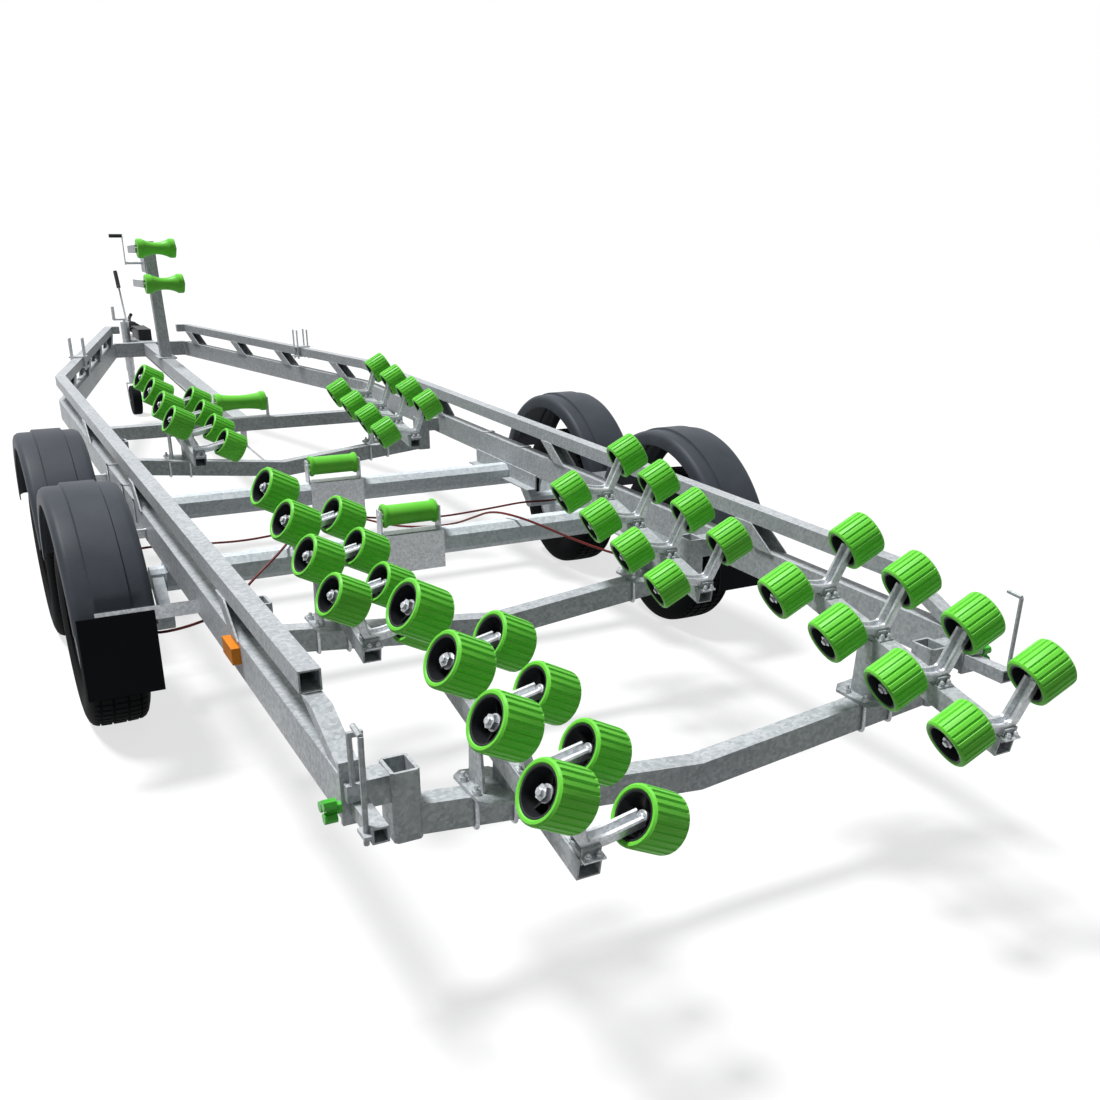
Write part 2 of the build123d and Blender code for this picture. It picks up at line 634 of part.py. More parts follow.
jockey_rings = [(-35, 60), (-32, jockey_radius - 6), (-24, jockey_radius), (24, jockey_radius),
                (32, jockey_radius - 6), (35, 60)]
jockey_wheel = facet_rings(jockey_rings, 28) - rod((-40, 0, 0), (40, 0, 0), 8.5)
jockey_wheel = Pos(jockey_x, jockey_y - trail, fork_z) * jockey_wheel
jockey_crank = rod((jockey_x, jockey_y, 672), (jockey_x, jockey_y, 715), 10 - running_gap)
jockey_crank += bar((jockey_x, jockey_y, 708), (jockey_x - 76, jockey_y, 708), 14, 12, (0, 1, 0))
jockey_crank += flat_rod((jockey_x - 70, jockey_y, 708), (jockey_x - 70, jockey_y, 803), 12, 10)

# Channels that carry the axles under the rails, with their straps
axle_carriers = []
for name, wheel_y in (("front", front_wheel_y), ("rear", rear_wheel_y)):
    y = wheel_y + axle_ahead
    carrier = box(inner_x - 46, inner_x, y - 330, y + 330, rail_bottom - 60, rail_bottom - 54)
    carrier += box(inner_x - 6, inner_x, y - 330, y + 330, rail_bottom - 60, rail_bottom + 6)
    axle_carriers.append(carrier - axles[name])

# Brake rod under the centre line, its guide, and the plate where the cables start
rod_radius = 6
plate_y = front_wheel_y + axle_ahead - 28
plate_z = axle_tube_z - axle_tube / 2
rod_line = [(0, nose_y + 420, rail_bottom - 19), (0, cross_member_y + 40, 322), (0, plate_y, 284)]
brake_rod = flat_rod(rod_line[0], rod_line[1], rod_radius) + flat_rod(rod_line[1], rod_line[2], rod_radius)
brake_rod += box(-12, 12, nose_y + 404, nose_y + 436, rail_bottom - 36, rail_bottom - 0.3)
guide_z = rail_bottom - cross_member_height
brake_rod += box(-16, 16, cross_member_y - 4, cross_member_y + 4, 306, guide_z - 0.3)
brake_rod += box(-70, 70, plate_y - 6, plate_y, 268, plate_z - 0.3)

# Brake cables from the plate to each backplate
cable_radius = 4.5
front_start, rear_start = (plate_y - 10.6, 310), (plate_y - 8.7, 310)
front_end = (backplate_x - 9, front_wheel_y - 86, 318)
rear_end = (backplate_x - 12.7, rear_wheel_y - 86, 318)
front_run = [(243, 2792, 292), (430, 2760, 286), (620, 2725, 306), (800, 2700, 326), (900, 2690, 322)]
rear_run = [(190, 2640, 296), (330, 2400, 345), (372, 2060, 482), (432, 1900, 482),
            (600, 1740, 402), (720, 1620, 362), (880, 1575, 362), (950, 1620, 345)]
left_rear_run = [(-190, 2640, 296), (-340, 2400, 345), (-405, 2060, 482), (-480, 1900, 482),
                 (-640, 1790, 400), (-740, 1640, 372), (-880, 1575, 366), (-950, 1620, 345)]
left_front_run = [(-x, y, z) for x, y, z in front_run]
cable_routes = [
    [(24, *front_start)] + front_run + [front_end],
    [(-24, *front_start)] + left_front_run + [(-front_end[0], *front_end[1:])],
    [(52, *rear_start)] + rear_run + [rear_end],
    [(-52, *rear_start)] + left_rear_run + [(-rear_end[0], *rear_end[1:])],
]
brake_cables = [cable(route, cable_radius) for route in cable_routes]
for name, shape in zip(("right front", "left front", "right rear", "left rear"), brake_cables):
    print("cable", name, "length", round(shape.volume / (1.5 * 3 ** 0.5 * cable_radius ** 2)))

# Side lamps, knobs and straps
side_lamp = box(half_width, half_width + 22, 830, 940, rail_bottom + 40, rail_top - 16)
knob_z = rail_bottom + 34
knob = flat_rod((half_width + 2, -6, knob_z), (half_width + 34, -6, knob_z), 13, 8)
for i in range(3):
    lobe_y, lobe_z = -6 + 17 * cos(2 * pi * i / 3), knob_z + 17 * sin(2 * pi * i / 3)
    knob += flat_rod((half_width + 14, lobe_y, lobe_z), (half_width + 40, lobe_y, lobe_z), 12, 8)

# Clamps with two threaded rods on the upper rails
clamp_y = 5750
clamp_x = half_width - (clamp_y - kink_y) * tan(nose_angle) - upper_width / 2 / cos(nose_angle)
rail_clamp = box(-48, 48, -35, 35, upper_top, upper_top + 8)
rail_clamp += box(-48, 48, -35, 35, upper_top - upper_height - 8, upper_top - upper_height)
for dx, dy in ((-35, -24), (35, -24), (-35, 24), (35, 24)):
    rail_clamp += flat_rod((dx, dy, upper_top - upper_height - 20), (dx, dy, upper_top + 110), 6)
rail_clamp = Pos(clamp_x, clamp_y, 0) * Rot(0, 0, degrees(nose_angle)) * rail_clamp

# Both sides of every piece that repeats
def both(shapes):
    return Compound(children=[s for s in shapes] + [mirrored(s) for s in shapes])


nodes = {
    "lower_rails": both([lower_rail]),
    "upper_rails": both([upper_rail]),
    "rail_posts": both(right_posts),
    "rear_end_fittings": both([rear_fitting]),
    "nose_cross_member": nose_member,
    "centre_beam": centre_beam,
    "straight_cross_member": cross_member,
    "rear_v_beam": v_beams["rear"],
    "middle_v_beam": v_beams["middle"],
    "front_v_beam": v_beams["front"],
    "front_axle": axles["front"],
    "rear_axle": axles["rear"],
    "axle_carriers": both(axle_carriers),
    "rear_bunks": both([bunks["rear"]]),
    "middle_bunks": both([bunks["middle"]]),
    "front_bunks": both([bunks["front"]]),
    "rear_rollers": both(rollers["rear"]),
    "middle_rollers": both(rollers["middle"]),
    "front_rollers": both(rollers["front"]),
    "roller_hubs": both(hubs),
    "roller_arms": both(arms),
    "keel_roller_brackets": Compound(children=keel_brackets),
    "front_keel_roller": keel_rollers["front"],
    "middle_keel_roller": keel_rollers["middle"],
    "rear_keel_roller": keel_rollers["rear"],
    "winch_post": winch_post,
    "winch_drum": winch_drum,
    "upper_bow_roller": bow_rollers["upper"],
    "lower_bow_roller": bow_rollers["lower"],
    "drawbar": drawbar,
    "overrun_unit": coupling_body,
    "coupling_head": coupling_head,
    "coupling_gaiter": gaiter,
    "handbrake_lever": handbrake,
    "jockey_outer_tube": jockey_outer,
    "jockey_inner_tube": jockey_inner,
    "jockey_fork": fork,
    "jockey_wheel": jockey_wheel,
    "jockey_crank": jockey_crank,
    "right_mudguards": Compound(children=right_guards),
    "left_mudguards": Compound(children=[mirrored(g) for g in right_guards]),
    "mudguard_straps": both(right_straps),
    "mudflaps": both([flap]),
    "brake_rod": brake_rod,
    "brake_cables": Compound(children=brake_cables),
    "side_lamps": both([side_lamp]),
    "clamp_knobs": both([knob]),
    "rail_clamps": both([rail_clamp]),
}
for name, (tyre, rim) in wheels.items():
    nodes[name + "_tyre"] = tyre
    nodes[name + "_wheel"] = rim

# The middle of the trailer's length lies over the origin
front_limit = max(nodes["coupling_head"].bounding_box().max.Y, nodes["jockey_wheel"].bounding_box().max.Y)
rear_limit = nodes["rear_rollers"].bounding_box().min.Y
origin_y = (front_limit + rear_limit) / 2
print("origin_y", round(origin_y, 3), "length", round(front_limit - rear_limit, 1))

for name, shape in nodes.items():
    export_step(Pos(0, -origin_y, 0) * shape, f"parts/{name}.step")
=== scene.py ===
import bpy
import bmesh
import json
from math import atan2, cos, pi, radians, sin, tan
from mathutils import Matrix, Vector


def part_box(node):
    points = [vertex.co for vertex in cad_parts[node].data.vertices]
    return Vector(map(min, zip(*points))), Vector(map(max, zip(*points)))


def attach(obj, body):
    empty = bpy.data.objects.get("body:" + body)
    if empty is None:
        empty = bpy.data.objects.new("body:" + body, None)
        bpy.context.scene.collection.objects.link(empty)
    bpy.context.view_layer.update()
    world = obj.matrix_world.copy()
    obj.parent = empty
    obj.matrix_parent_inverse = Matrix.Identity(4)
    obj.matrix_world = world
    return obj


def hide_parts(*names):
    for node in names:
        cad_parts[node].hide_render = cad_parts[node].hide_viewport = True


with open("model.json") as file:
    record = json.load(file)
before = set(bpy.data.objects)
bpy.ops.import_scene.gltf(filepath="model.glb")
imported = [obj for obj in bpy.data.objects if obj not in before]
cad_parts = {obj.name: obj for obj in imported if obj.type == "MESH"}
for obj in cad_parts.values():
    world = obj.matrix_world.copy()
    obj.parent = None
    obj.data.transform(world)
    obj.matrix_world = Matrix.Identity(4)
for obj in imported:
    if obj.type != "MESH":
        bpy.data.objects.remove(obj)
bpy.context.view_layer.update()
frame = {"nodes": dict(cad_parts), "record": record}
cad_nodes = frame["nodes"]
scene = bpy.context.scene
rail_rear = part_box("lower_rails")[0].y

flip = Matrix.Scale(-1, 4, (1, 0, 0))
half_turn = Matrix.Rotation(pi, 4, "Z")
upward = Matrix.Rotation(-pi / 2, 4, "Y")
sides = {"left": -1, "right": 1}


def at(x, y, z):
    """A place in metres, from millimetres measured from the rear end of the lower rails."""
    return Vector((x / 1000, y / 1000 + rail_rear, z / 1000))


# Camera: standing behind the left corner, looking forwards and down
photo_width, focal_pixels, centre_across, centre_down = 1100, 1165.76, 637.05, 651.85
sensor_width = 36
view_turn, view_tilt, view_roll = radians(30.834), radians(21.257), radians(1.029)
level_right = Vector((cos(view_turn), -sin(view_turn), 0))
level_ahead = Vector((sin(view_turn), cos(view_turn), 0))
view_ahead = level_ahead * cos(view_tilt) - Vector((0, 0, sin(view_tilt)))
view_up = Vector((0, 0, cos(view_tilt))) + level_ahead * sin(view_tilt)
camera_right = level_right * cos(view_roll) + view_up * sin(view_roll)
camera_up = view_up * cos(view_roll) - level_right * sin(view_roll)
camera_data = bpy.data.cameras.new("view_camera")
camera_data.sensor_width = sensor_width
camera_data.sensor_fit = "HORIZONTAL"
camera_data.lens = focal_pixels / photo_width * sensor_width
camera_data.shift_x = -(centre_across - photo_width / 2) / photo_width
camera_data.shift_y = (centre_down - photo_width / 2) / photo_width
camera_data.clip_end = 200
camera = bpy.data.objects.new("view_camera", camera_data)
axes = Matrix((camera_right, camera_up, -view_ahead)).transposed().to_4x4()
camera.matrix_world = Matrix.Translation(at(-1409.7, -2047.1, 1627.9)) @ axes
scene.collection.objects.link(camera)
scene.camera = camera
scene.view_settings.view_transform = "Standard"


# Node helpers, for the room, for materials and for geometry
def add_node(tree, kind, settings=None, **values):
    """A node with its settings and inputs. An input takes a value or another node's socket."""
    node = tree.nodes.new(kind)
    for key, value in (settings or {}).items():
        setattr(node, key, value)
    for key, value in values.items():
        numbered = key[0] == "i" and key[1:].isdigit()
        socket = node.inputs[int(key[1:]) if numbered else key.replace("_", " ")]
        if isinstance(value, bpy.types.NodeSocket):
            tree.links.new(value, socket)
        else:
            socket.default_value = value
    return node


def looked_at(tree):
    """1 where the camera looks, also by way of a gloss or through something clear, and else 0."""
    ray = tree.nodes.new("ShaderNodeLightPath").outputs
    seen = ray["Is Camera Ray"]
    for other in ("Is Glossy Ray", "Is Transmission Ray"):
        seen = add_node(tree, "ShaderNodeMath", {"operation": "MAXIMUM"}, i0=seen, i1=ray[other]).outputs[0]
    return seen


# Light: a room that looks white but lights little, and one soft lamp overhead
world = bpy.data.worlds.new("room")
scene.world = world
world.use_nodes = True
room = world.node_tree
room.nodes.clear()
room_light = add_node(room, "ShaderNodeBackground", Color=(0.94, 0.97, 1.0, 1), Strength=0.15)
room_white = add_node(room, "ShaderNodeBackground", Color=(1, 1, 1, 1), Strength=1.0)
room_mix = add_node(room, "ShaderNodeMixShader", i0=looked_at(room), i1=room_light.outputs[0],
                    i2=room_white.outputs[0])
add_node(room, "ShaderNodeOutputWorld", Surface=room_mix.outputs[0])

lamp_data = bpy.data.lights.new("overhead_lamp", "SUN")
lamp_data.energy = 4.3
lamp_data.angle = radians(14)
lamp = bpy.data.objects.new("overhead_lamp", lamp_data)
lamp.rotation_euler = Vector((-0.24, 0.26, 0.935)).to_track_quat("Z", "Y").to_euler()
scene.collection.objects.link(lamp)


# Materials
def new_material(name, specular):
    material = bpy.data.materials.new(name)
    material.use_nodes = True
    tree = material.node_tree
    tree.nodes.clear()
    output = tree.nodes.new("ShaderNodeOutputMaterial")
    surface = tree.nodes.new("ShaderNodeBsdfPrincipled")
    surface.inputs["Specular IOR Level"].default_value = specular
    tree.links.new(surface.outputs[0], output.inputs["Surface"])
    place = tree.nodes.new("ShaderNodeTexCoord").outputs["Object"]
    return material, tree, surface, place


def ramp(tree, factor, stops):
    """A colour ramp from (place, colour) stops."""
    node = tree.nodes.new("ShaderNodeValToRGB")
    tree.links.new(factor, node.inputs[0])
    marks = node.color_ramp.elements
    while len(marks) < len(stops):
        marks.new(0.5)
    for mark, (place, colour) in zip(marks, stops):
        mark.position = place
        mark.color = (*colour, 1)
    return node.outputs[0]


def noise(tree, place, scale, detail, rough=0.55):
    node = add_node(tree, "ShaderNodeTexNoise", Vector=place, Scale=scale, Detail=detail, Roughness=rough)
    return node.outputs[0]


def bump(tree, surface, height, strength, distance):
    node = add_node(tree, "ShaderNodeBump", Height=height, Strength=strength, Distance=distance)
    tree.links.new(node.outputs[0], surface.inputs["Normal"])


def span(tree, value, low, high):
    """A value from 0 to 1, spread between two limits."""
    return add_node(tree, "ShaderNodeMapRange", Value=value, To_Min=low, To_Max=high).outputs[0]


def zinc_coat(name, dark, light, metallic, rough_low, rough_high, grain, specular=0.22):
    """Hot dip zinc: crystals a centimetre or two wide, cloudy patches and a fine pitted skin."""
    material, tree, surface, place = new_material(name, specular)
    crystals = add_node(tree, "ShaderNodeTexVoronoi", Vector=place, Scale=grain).outputs["Color"]
    crystal = add_node(tree, "ShaderNodeSeparateColor", Color=crystals).outputs[0]
    clouds = noise(tree, place, 3.1, 5)
    flecks = noise(tree, place, 95, 4, 0.7)
    first = add_node(tree, "ShaderNodeMix", Factor=0.42, A=clouds, B=crystal).outputs[0]
    blend = add_node(tree, "ShaderNodeMix", Factor=0.3, A=first, B=flecks).outputs[0]
    middle = tuple((a + b) / 2 for a, b in zip(dark, light))
    colour = ramp(tree, blend, [(0.2, dark), (0.5, middle), (0.78, light)])
    tree.links.new(colour, surface.inputs["Base Color"])
    surface.inputs["Metallic"].default_value = metallic
    tree.links.new(span(tree, blend, rough_high, rough_low), surface.inputs["Roughness"])
    bump(tree, surface, flecks, 0.12, 0.0006)
    return material


def moulded(name, low, high, rough, scale, strength, spread=0.12, specular=0.18):
    """Moulded plastic, rubber or paint: two close tones, a fine grain and uneven gloss."""
    material, tree, surface, place = new_material(name, specular)
    clouds = noise(tree, place, 7, 4)
    grain = noise(tree, place, scale, 3, 0.6)
    blend = add_node(tree, "ShaderNodeMix", Factor=0.4, A=clouds, B=grain).outputs[0]
    tree.links.new(ramp(tree, blend, [(0.3, low), (0.7, high)]), surface.inputs["Base Color"])
    tree.links.new(span(tree, blend, rough - spread, rough + spread), surface.inputs["Roughness"])
    bump(tree, surface, grain, strength, 0.0008)
    return material


# two tones, share of metal, least and most roughness, size of the crystals, specular
galvanised = zinc_coat("galvanised_zinc", (0.26, 0.283, 0.302), (0.58, 0.607, 0.628), 0.12, 0.36, 0.58, 110)
bright_zinc = zinc_coat("bright_zinc", (0.36, 0.38, 0.41), (0.74, 0.76, 0.78), 0.45, 0.3, 0.46, 160, 0.4)
axle_zinc = zinc_coat("axle_zinc", (0.46, 0.52, 0.56), (0.84, 0.89, 0.92), 0.05, 0.4, 0.6, 100)
drum_steel = zinc_coat("drum_steel", (0.09, 0.09, 0.095), (0.24, 0.24, 0.25), 0.6, 0.4, 0.6, 90)
# two tones, roughness, size and strength of the grain, spread of the roughness, specular
roller_green = moulded("roller_green", (0.13, 0.60, 0.045), (0.20, 0.74, 0.075), 0.42, 240, 0.2)
knob_green = moulded("knob_green", (0.06, 0.46, 0.04), (0.10, 0.58, 0.06), 0.34, 200, 0.12)
hub_black = moulded("hub_black", (0.012, 0.013, 0.015), (0.03, 0.032, 0.036), 0.45, 260, 0.15)
guard_charcoal = moulded("guard_charcoal", (0.036, 0.043, 0.053), (0.062, 0.071, 0.086), 0.5, 420, 0.22,
                         specular=0.12)
rubber_black = moulded("rubber_black", (0.004, 0.005, 0.007), (0.010, 0.011, 0.014), 0.7, 300, 0.25,
                       specular=0.06)
tyre_rubber = moulded("tyre_rubber", (0.004, 0.0045, 0.005), (0.011, 0.012, 0.013), 0.8, 220, 0.35,
                      specular=0.06)
rim_steel = moulded("rim_steel", (0.16, 0.17, 0.18), (0.30, 0.31, 0.33), 0.4, 150, 0.1)
cable_red = moulded("cable_red", (0.11, 0.012, 0.012), (0.19, 0.028, 0.024), 0.4, 200, 0.1)
amber_lens = moulded("amber_lens", (0.62, 0.16, 0.01), (0.82, 0.30, 0.02), 0.22, 120, 0.05, 0.06)
floor_white = moulded("floor_white", (0.86, 0.86, 0.86), (0.90, 0.90, 0.90), 0.85, 4, 0.02)

finish_of = {
    "galvanised": galvanised, "bright_zinc": bright_zinc, "green_roller": roller_green,
    "green_knob": knob_green, "tyre_rubber": tyre_rubber, "wheel_steel": rim_steel,
    "black_plastic": hub_black, "black_rubber": rubber_black, "amber_lamp": amber_lens,
    "cable_red": cable_red,
}
slot_of = {part["node"]: part["material_slot"] for part in frame["record"]["subparts"]}
for name, node in cad_nodes.items():
    node.data.materials.clear()
    node.data.materials.append(axle_zinc if name.endswith("_axle") else finish_of[slot_of[name]])

# Black grips on the handbrake lever, the winch crank and the coupling handle, from these places on
on_grip_of = {
    "handbrake_lever": lambda p: p.z > 0.83,
    "winch_drum": lambda p: p.x < -0.152,
    "coupling_head": lambda p: p.z > 0.66 and p.y < rail_rear + 8.35,
}
for name, on_grip in on_grip_of.items():
    node = cad_nodes[name]
    node.data.materials.append(hub_black)
    for face in node.data.polygons:
        if on_grip(node.matrix_world @ face.center):
            face.material_index = 1

# The floor: white where it is looked at, darker where it throws light back up
floor_reach = 40
floor_tree = floor_white.node_tree
floor_surface = next(n for n in floor_tree.nodes if n.type == "BSDF_PRINCIPLED")
floor_output = next(n for n in floor_tree.nodes if n.type == "OUTPUT_MATERIAL")
floor_glow = add_node(floor_tree, "ShaderNodeEmission", Color=(1, 1, 1, 1), Strength=1.02)
floor_seen = add_node(floor_tree, "ShaderNodeMixShader", i0=0.3, i1=floor_glow.outputs[0],
                      i2=floor_surface.outputs[0])
floor_dark = add_node(floor_tree, "ShaderNodeBsdfDiffuse", Color=(0.22, 0.22, 0.22, 1))
floor_mix = add_node(floor_tree, "ShaderNodeMixShader", i0=looked_at(floor_tree), i1=floor_dark.outputs[0],
                     i2=floor_seen.outputs[0])
floor_tree.links.new(floor_mix.outputs[0], floor_output.inputs["Surface"])
floor_mesh = bpy.data.meshes.new("floor")
floor_corners = [(-1, -1), (1, -1), (1, 1), (-1, 1)]
floor_mesh.from_pydata([(a * floor_reach, b * floor_reach, 0) for a, b in floor_corners], [], [(0, 1, 2, 3)])
floor_mesh.materials.append(floor_white)
floor = bpy.data.objects.new("floor", floor_mesh)
scene.collection.objects.link(floor)

# Points nearer than this are joined, in metres
join_within = 0.00002


def between_rings(first, second, count):
    """Quads from one ring of points to the next, from the numbers of their first points."""
    return [(first + i, first + (i + 1) % count, second + (i + 1) % count, second + i) for i in range(count)]


class Shape:
    """A shape in mesh code, in millimetres: in its place in the frame, or about its own origin."""
    def __init__(self, in_place=True):
        self.in_place, self.points, self.faces = in_place, [], []

    def add(self, points, faces, place=None):
        first = len(self.points)
        for point in points:
            point = Vector(point)
            self.points.append(place @ point if place else point)
        turned_over = place is not None and place.determinant() < 0
        for face in faces:
            face = [first + i for i in face]
            self.faces.append(face[::-1] if turned_over else face)
        return self

    def box(self, low, high, place=None):
        (a, b, c), (d, e, f) = low, high
        points = [(a, b, c), (d, b, c), (d, e, c), (a, e, c), (a, b, f), (d, b, f), (d, e, f), (a, e, f)]
        faces = [(0, 3, 2, 1), (4, 5, 6, 7), (0, 1, 5, 4), (1, 2, 6, 5), (2, 3, 7, 6), (3, 0, 4, 7)]
        return self.add(points, faces, place)

    def turned(self, section, steps, place=None):
        """A closed (along, radius) section turned about the X axis, counterclockwise."""
        points, faces = [], []
        count = len(section)
        for step in range(steps):
            angle = 2 * pi * step / steps
            points += [(a, r * cos(angle), r * sin(angle)) for a, r in section]
            faces += between_rings(step * count, (step + 1) % steps * count, count)
        return self.add(points, faces, place)

    def prism(self, outline, x0, x1, place=None):
        """A flat (y, z) outline, counterclockwise, drawn out along X."""
        count = len(outline)
        points = [(x, y, z) for x in (x0, x1) for y, z in outline]
        caps = [tuple(reversed(range(count))), tuple(range(count, 2 * count))]
        faces = caps + between_rings(0, count, count)
        return self.add(points, faces, place)

    def rod(self, start, end, radius, sides):
        """A round bar from one point to another, a little chamfered."""
        start, end = Vector(start), Vector(end)
        length = (end - start).length
        turn = Vector((1, 0, 0)).rotation_difference(end - start).to_matrix().to_4x4()
        edge = min(radius * 0.25, 1.5)
        section = [(0, 0), (length, 0), (length, radius - edge), (length - edge, radius), (edge, radius),
                   (0, radius - edge)]
        return self.turned(section, sides, Matrix.Translation(start) @ turn)

    def mesh(self, name):
        """The shape as a mesh in metres, with shared points joined and faces turned outwards."""
        mesh = bpy.data.meshes.new(name)
        scaled = [at(*p) for p in self.points] if self.in_place else [p / 1000 for p in self.points]
        mesh.from_pydata(scaled, [], self.faces)
        shell = bmesh.new()
        shell.from_mesh(mesh)
        bmesh.ops.remove_doubles(shell, verts=shell.verts, dist=join_within)
        bmesh.ops.recalc_face_normals(shell, faces=shell.faces)
        shell.to_mesh(mesh)
        shell.free()
        return mesh


def round_off(mesh, sharp=40):
    """Smooth shading with sharp edges kept."""
    mesh.shade_smooth()
    mesh.set_sharp_from_angle(angle=radians(sharp))


def finish_piece(name, mesh, body, slot_name, replaced=(), sharp=40):
    """An object at the origin whose place is in its mesh, riding on a body."""
    mesh.name = name
    if not mesh.materials:
        mesh.materials.append(finish_of[slot_name])
    # Geometry Nodes leave an empty first slot that no face wears
    if mesh.materials[0] is None:
        mesh.materials.pop(index=0)
    round_off(mesh, sharp)
    piece = bpy.data.objects.new(name, mesh)
    scene.collection.objects.link(piece)
    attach(piece, body)
    if replaced:
        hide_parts(*replaced)


# Geometry Nodes: every tree ends in Realize Instances and Set Material
def new_tree(name, *inputs):
    """A geometry tree with named inputs. Returns the tree and its input sockets."""
    tree = bpy.data.node_groups.new(name, "GeometryNodeTree")
    tree.interface.new_socket("Geometry", in_out="OUTPUT", socket_type="NodeSocketGeometry")
    for label, kind in (("Geometry", "Geometry"), *inputs, ("Finish", "Material")):
        tree.interface.new_socket(label, in_out="INPUT", socket_type="NodeSocket" + kind)
    return tree, tree.nodes.new("NodeGroupInput").outputs


def end_tree(tree, geometry, inputs):
    real = add_node(tree, "GeometryNodeRealizeInstances", Geometry=geometry)
    coated = add_node(tree, "GeometryNodeSetMaterial", Geometry=real.outputs[0], Material=inputs["Finish"])
    output = tree.nodes.new("NodeGroupOutput")
    tree.links.new(coated.outputs[0], output.inputs[0])
    return tree


def tree_copies_round_axle():
    """Copies of one sector round the X axis, joined along their edges."""
    tree, inputs = new_tree("copies_round_axle", ("Count", "Int"))
    line = add_node(tree, "GeometryNodeMeshLine", Count=inputs["Count"], Offset=(0, 0, 0))
    index = tree.nodes.new("GeometryNodeInputIndex").outputs[0]
    step = add_node(tree, "ShaderNodeMath", {"operation": "DIVIDE"}, i0=2 * pi, i1=inputs["Count"]).outputs[0]
    angle = add_node(tree, "ShaderNodeMath", {"operation": "MULTIPLY"}, i0=index, i1=step).outputs[0]
    turn = add_node(tree, "ShaderNodeCombineXYZ", X=angle).outputs[0]
    sectors = add_node(tree, "GeometryNodeInstanceOnPoints", Points=line.outputs[0],
                       Instance=inputs["Geometry"], Rotation=turn)
    real = add_node(tree, "GeometryNodeRealizeInstances", Geometry=sectors.outputs[0])
    joined = add_node(tree, "GeometryNodeMergeByDistance", Geometry=real.outputs[0], Distance=0.00003)
    return end_tree(tree, joined.outputs[0], inputs)


def tree_copies_at_places():
    """Copies of one piece at points that carry a turn and a size."""
    tree, inputs = new_tree("copies_at_places", ("Piece", "Object"))
    piece = add_node(tree, "GeometryNodeObjectInfo", Object=inputs["Piece"]).outputs["Geometry"]
    vector = {"data_type": "FLOAT_VECTOR"}
    turn = add_node(tree, "GeometryNodeInputNamedAttribute", vector, Name="turn").outputs[0]
    size = add_node(tree, "GeometryNodeInputNamedAttribute", vector, Name="size").outputs[0]
    placed = add_node(tree, "GeometryNodeInstanceOnPoints", Points=inputs["Geometry"], Instance=piece,
                      Rotation=turn, Scale=size)
    return end_tree(tree, placed.outputs[0], inputs)


def tree_bar_along_path():
    """A round bar that follows a path of points, with rounded bends."""
    tree, inputs = new_tree("bar_along_path", ("Radius", "Float"), ("Bend", "Float"), ("Facets", "Int"))
    path = add_node(tree, "GeometryNodeMeshToCurve", Mesh=inputs["Geometry"]).outputs[0]
    bent = add_node(tree, "GeometryNodeFilletCurve", Curve=path, Radius=inputs["Bend"], Limit_Radius=True)
    bent.mode = "POLY"
    bent.inputs["Count"].default_value = 5
    ring = add_node(tree, "GeometryNodeCurvePrimitiveCircle", Resolution=inputs["Facets"],
                    Radius=inputs["Radius"])
    skin = add_node(tree, "GeometryNodeCurveToMesh", Curve=bent.outputs[0], Profile_Curve=ring.outputs[0],
                    Fill_Caps=True)
    return end_tree(tree, skin.outputs[0], inputs)


copies_round_axle = tree_copies_round_axle()
copies_at_places = tree_copies_at_places()
bar_along_path = tree_bar_along_path()


def grown(mesh, tree, **values):
    """The plain mesh that a geometry tree makes of a mesh."""
    holder = bpy.data.objects.new("holder", mesh)
    scene.collection.objects.link(holder)
    modifier = holder.modifiers.new("growth", "NODES")
    modifier.node_group = tree
    for item in tree.interface.items_tree:
        if item.in_out == "INPUT" and item.name in values:
            modifier[item.identifier] = values[item.name]
    bpy.context.view_layer.update()
    result = bpy.data.meshes.new_from_object(holder.evaluated_get(bpy.context.evaluated_depsgraph_get()))
    holder.modifiers.clear()
    bpy.data.objects.remove(holder)
    return result


def copies(model_mesh, places, material):
    """One mesh of copies of a piece, at a list of matrices in millimetres."""
    model = bpy.data.objects.new("model", model_mesh)
    scene.collection.objects.link(model)
    cloud = bpy.data.meshes.new("places")
    cloud.from_pydata([at(*m.translation) for m in places], [], [])
    turn = cloud.attributes.new("turn", "FLOAT_VECTOR", "POINT")
    size = cloud.attributes.new("size", "FLOAT_VECTOR", "POINT")
    for i, m in enumerate(places):
        turn.data[i].vector = m.to_euler("XYZ")
        size.data[i].vector = m.to_scale()
    result = grown(cloud, copies_at_places, Piece=model, Finish=material)
    bpy.data.objects.remove(model)
    return result


def mirrored_copies(model_mesh, places, material):
    """Copies of a piece on the right, joined with their mirror image on the left."""
    right = copies(model_mesh, places, material)
    shell = bmesh.new()
    shell.from_mesh(right)
    there = bmesh.new()
    there.from_mesh(right)
    bmesh.ops.transform(there, matrix=flip, verts=there.verts)
    bmesh.ops.reverse_faces(there, faces=there.faces)
    left = bpy.data.meshes.new("left")
    there.to_mesh(left)
    shell.from_mesh(left)
    shell.to_mesh(right)
    shell.free()
    there.free()
    return right


def bent_bar(paths, radius, bend, material, facets=10):
    """Round bars along lists of points in millimetres."""
    mesh = bpy.data.meshes.new("paths")
    points, edges = [], []
    for path in paths:
        first = len(points)
        points += [at(*p) for p in path]
        edges += [(first + i, first + i + 1) for i in range(len(path) - 1)]
    mesh.from_pydata(points, edges, [])
    return grown(mesh, bar_along_path, Radius=radius / 1000, Bend=bend / 1000, Facets=facets, Finish=material)


